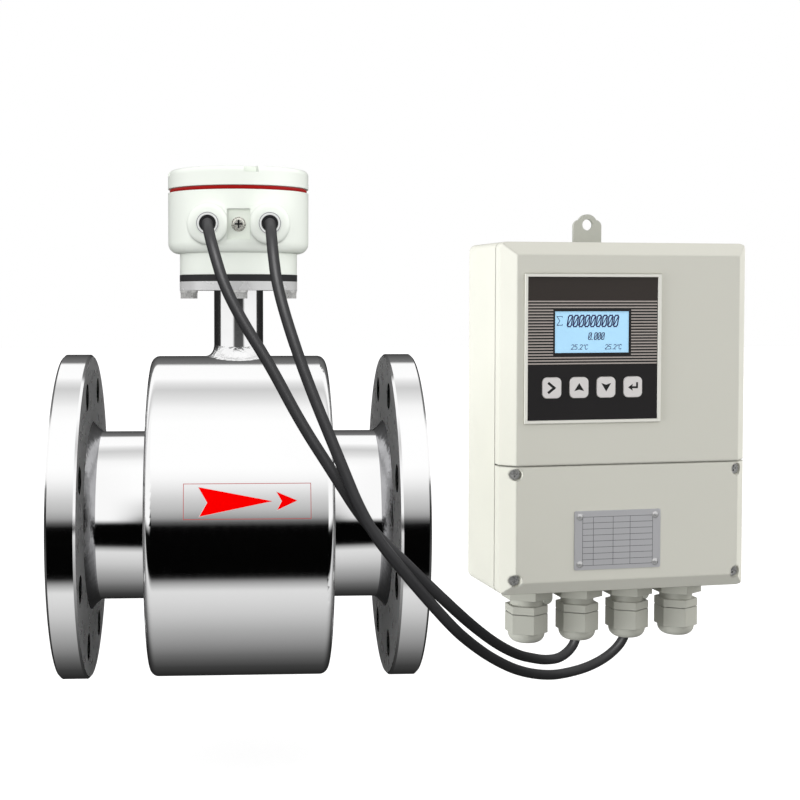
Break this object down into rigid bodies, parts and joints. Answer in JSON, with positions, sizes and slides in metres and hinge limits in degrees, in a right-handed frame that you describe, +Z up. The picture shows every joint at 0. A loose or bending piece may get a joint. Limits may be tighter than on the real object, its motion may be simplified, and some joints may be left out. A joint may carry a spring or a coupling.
{
  "type": "electromagnetic flow meter",
  "caption": "Electromagnetic flow meter: flanged stainless sensor with a round junction head, cabled to a separate wall-mounted display box.",
  "frame": {"origin": "middle of the flow bore, halfway between the flange faces", "axes": "+X along the pipe to the outlet, -Y the front that carries the flow arrows and cable entries, +Z up to the junction head"},
  "size_m": [0.4923, 0.2453, 0.3624],
  "materials": {
    "polished_steel": "polished",
    "liner": "smooth, waxy",
    "coil": "varnished winding",
    "core_steel": "plain magnet steel",
    "electrode_metal": "fine turned",
    "white_plastic": "matt",
    "black_rubber": "matt",
    "red_rubber": "satin",
    "bolt_steel": "plain",
    "head_paint": "semi-gloss",
    "loom_sheath": "matt",
    "box_paint": "satin",
    "bezel_plastic": "satin",
    "panel_plastic": "satin printed film",
    "window": "clear",
    "lcd": "lit display",
    "key_plastic": "satin",
    "board": "solder resist",
    "black_plastic": "matt",
    "plate_metal": "brushed",
    "lug_metal": "satin",
    "gland_plastic": "satin",
    "cable_jacket": "satin"
  },
  "bodies": {
    "meter": {"inlet_flange": "polished_steel", "outlet_flange": "polished_steel", "measuring_tube": "polished_steel", "tube_liner": "liner", "inlet_lip": "liner", "outlet_lip": "liner", "drum_shell": "polished_steel", "inlet_end_plate": "polished_steel", "outlet_end_plate": "polished_steel", "upper_coil": "coil", "lower_coil": "coil", "upper_pole": "core_steel", "lower_pole": "core_steel", "magnet_yoke": "core_steel", "front_electrode": "electrode_metal", "rear_electrode": "electrode_metal", "electrode_insulators": "white_plastic", "neck_tube": "polished_steel", "neck_plate": "polished_steel", "neck_gasket": "black_rubber", "neck_bolts": "bolt_steel", "lead_loom": "loom_sheath", "head_body": "head_paint", "entry_sleeves": "white_plastic", "entry_seals": "black_rubber", "earth_screw": "bolt_steel", "earth_washer": "bolt_steel", "head_terminal_block": "white_plastic", "head_terminal_screws": "bolt_steel", "rear_housing": "box_paint", "display_cover": "box_paint", "terminal_cover": "box_paint", "cover_gasket": "black_rubber", "cover_screws": "bolt_steel", "display_bezel": "bezel_plastic", "panel_overlay": "panel_plastic", "lcd_window": "window", "lcd_module": "lcd", "display_board": "board", "key_switches": "black_plastic", "main_board": "board", "power_module": "black_plastic", "terminal_strip": "white_plastic", "nameplate": "plate_metal", "nameplate_rivets": "bolt_steel", "top_lug": "lug_metal", "bottom_lugs": "lug_metal", "gland_bodies": "gland_plastic", "gland_lock_nuts": "gland_plastic", "gland_caps": "gland_plastic", "gland_seals": "black_rubber", "signal_cable": "cable_jacket", "excitation_cable": "cable_jacket"},
    "lid_seal_ring": {"lid_seal": "red_rubber"},
    "lid": {"head_lid": "head_paint"},
    "next_key_cap": {"next_key": "key_plastic"},
    "up_key_cap": {"up_key": "key_plastic"},
    "down_key_cap": {"down_key": "key_plastic"},
    "enter_key_cap": {"enter_key": "key_plastic"}
  },
  "joints": [
    {"name": "lid_lift", "type": "slide", "parent": "meter", "child": "lid_seal_ring", "axis": [0, 0, 1], "range_m": [0, 0.0121]},
    {"name": "lid_turn", "type": "hinge", "parent": "lid_seal_ring", "child": "lid", "pos_m": [0, 0, 0.222], "axis": [0, 0, 1], "range_deg": [0, 2160]},
    {"name": "next_key_press", "type": "slide", "parent": "meter", "child": "next_key_cap", "axis": [-0.1564, 0.9877, 0], "range_m": [0, 0.0006], "stiffness_N_per_m": 1500},
    {"name": "up_key_press", "type": "slide", "parent": "meter", "child": "up_key_cap", "axis": [-0.1564, 0.9877, 0], "range_m": [0, 0.0006], "stiffness_N_per_m": 1500},
    {"name": "down_key_press", "type": "slide", "parent": "meter", "child": "down_key_cap", "axis": [-0.1564, 0.9877, 0], "range_m": [0, 0.0006], "stiffness_N_per_m": 1500},
    {"name": "enter_key_press", "type": "slide", "parent": "meter", "child": "enter_key_cap", "axis": [-0.1564, 0.9877, 0], "range_m": [0, 0.0006], "stiffness_N_per_m": 1500}
  ],
  "couplings": [
    {"joint": "lid_lift", "follows": "lid_turn", "m_per_rad": 0.00031831}
  ]
}
